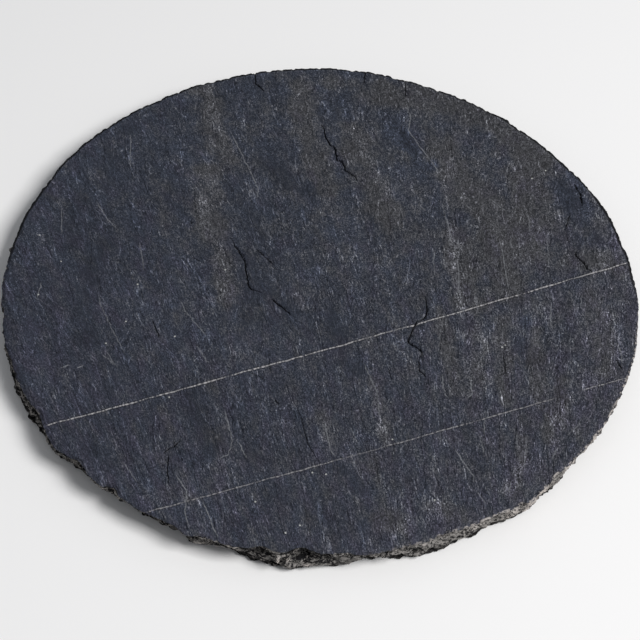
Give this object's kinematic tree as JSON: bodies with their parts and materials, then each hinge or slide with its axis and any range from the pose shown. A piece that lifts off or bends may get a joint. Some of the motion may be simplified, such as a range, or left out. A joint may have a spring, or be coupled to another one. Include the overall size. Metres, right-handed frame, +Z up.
{
  "type": "slate slab",
  "caption": "Round slab of natural slate with a riven top, a flat cleavage plane underneath and a rough knapped rim.",
  "frame": {"origin": "centre of the slab's outline, on the flat underside", "axes": "+Z up through the thickness; -Y towards the edge that the viewer faces, +X to the viewer's right"},
  "size_m": [0.5018, 0.5034, 0.0228],
  "materials": {
    "slate": "dry riven slate, matt to faintly satin, dark blue-grey with olive-brown patches, fine streaks along the grain, two thin pale mineral veins across the top and a paler grey-brown broken rim"
  },
  "bodies": {
    "root": {"slate_slab": "slate"}
  },
  "joints": []
}
